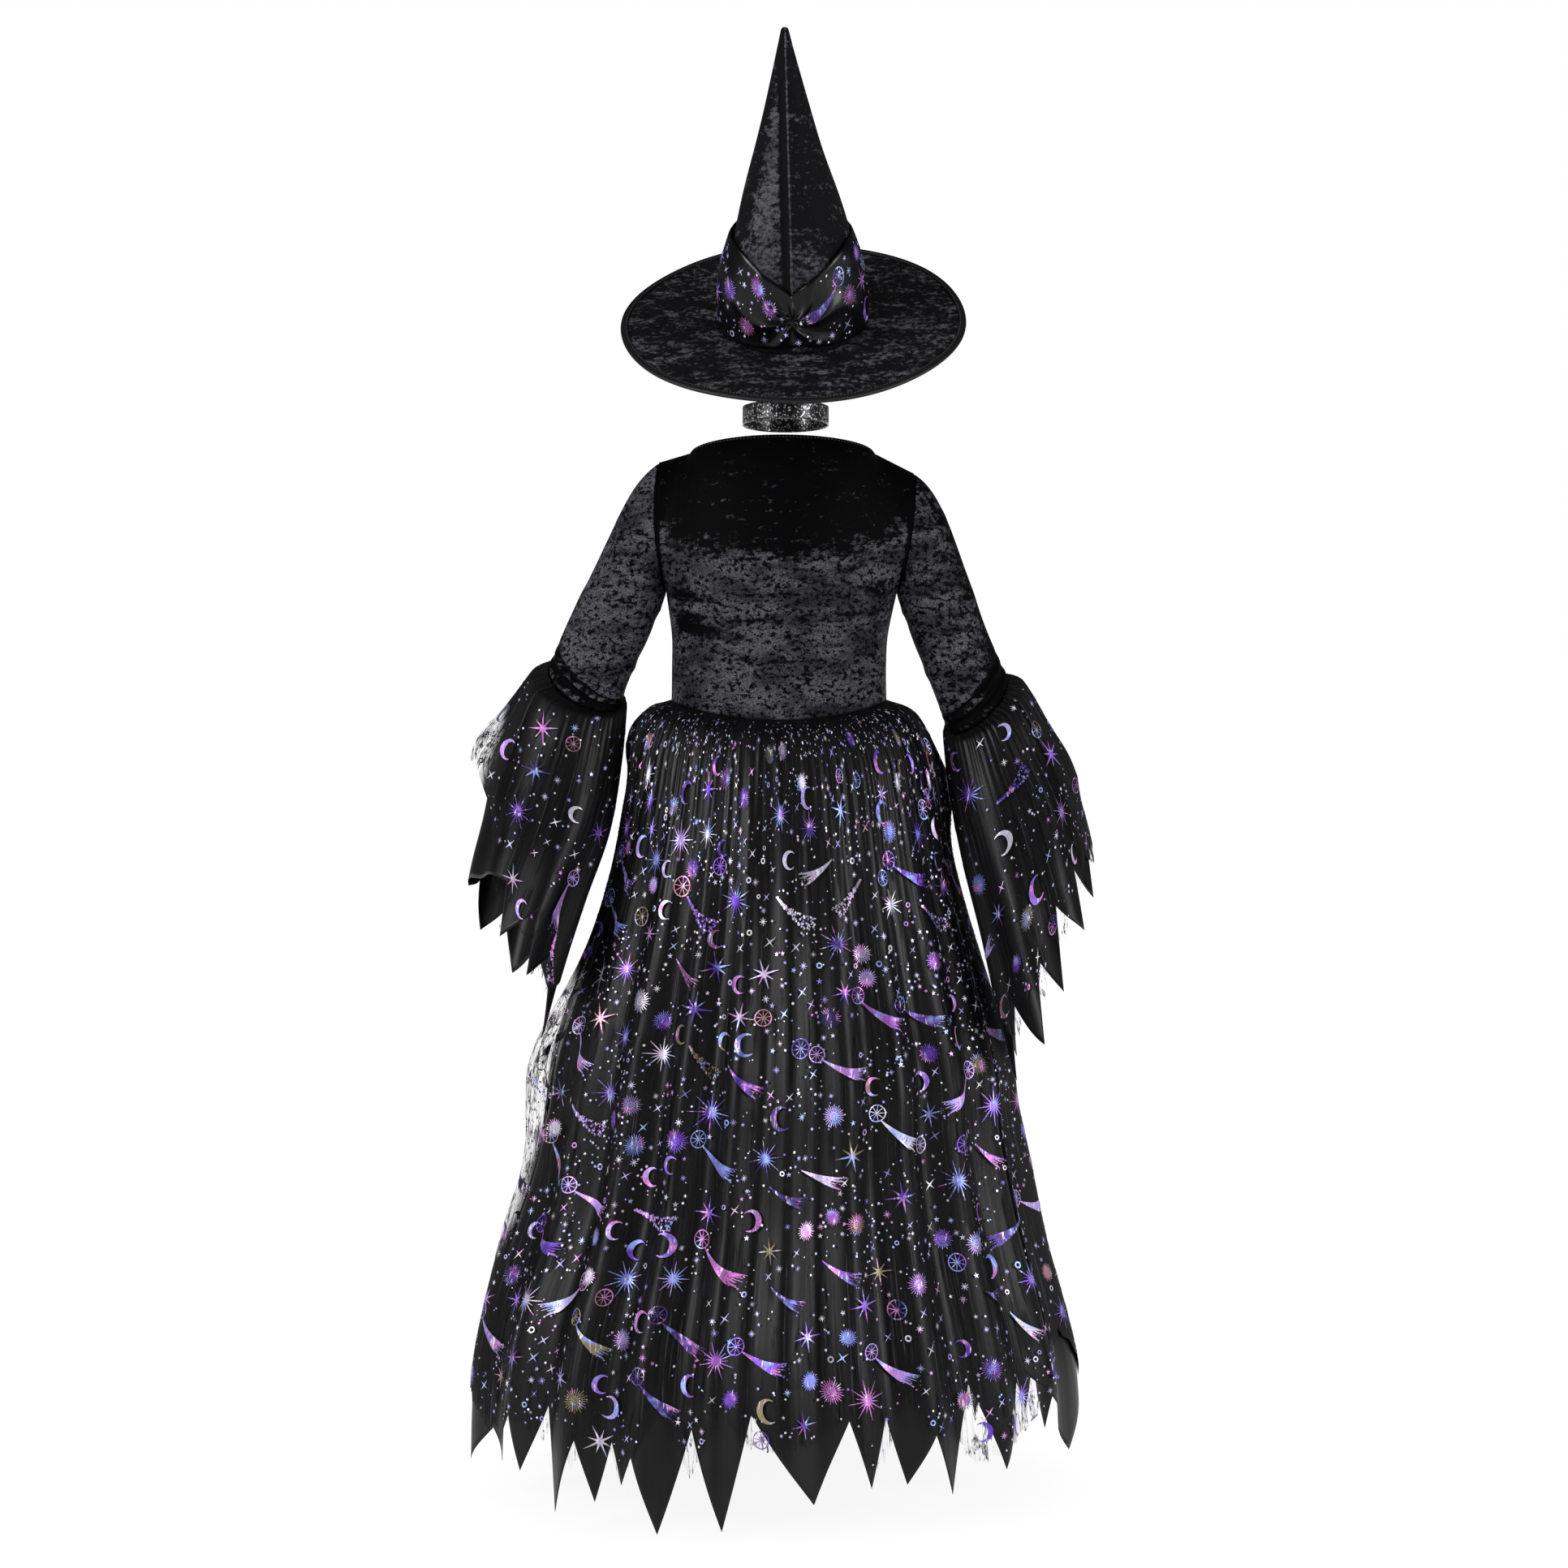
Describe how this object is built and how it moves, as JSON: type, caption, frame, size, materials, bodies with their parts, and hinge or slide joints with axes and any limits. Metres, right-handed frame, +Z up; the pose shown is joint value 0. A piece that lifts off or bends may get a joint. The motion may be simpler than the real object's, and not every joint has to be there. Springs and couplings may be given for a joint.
{
  "type": "witch costume with pointed hat, choker and dress",
  "caption": "Witch costume filled out as worn: tall pointed hat, choker and long dress with jagged sleeve flounces and a gathered skirt under star-printed net.",
  "frame": {"origin": "middle of the shoulder line, where the wearer holds the dress up", "axes": "+Z up, the front faces -Y, +X to the garment's own left"},
  "size_m": [0.7537, 0.6667, 1.7123],
  "materials": {
    "velvet": "crushed polyester velvet, mottled nap",
    "satin": "plain black costume satin, soft sheen",
    "net": "black net with iridescent foil stars, moons and comets",
    "printed_satin": "black satin with iridescent foil stars and moons",
    "tape": "black satin edge tape",
    "glitter": "black velvet ribbon with silver glitter"
  },
  "bodies": {
    "root": {"hat_cone": "velvet", "hat_brim": "velvet", "hat_brim_tape": "tape", "hat_band": "printed_satin", "choker": "glitter", "bodice_back": "velvet", "bodice_front": "velvet", "sleeve_left": "velvet", "sleeve_right": "velvet", "flounce_left": "satin", "flounce_right": "satin", "flounce_net_left": "net", "flounce_net_right": "net", "skirt_back": "satin", "skirt_front": "satin", "skirt_net_back": "net", "skirt_net_front": "net"}
  },
  "joints": []
}
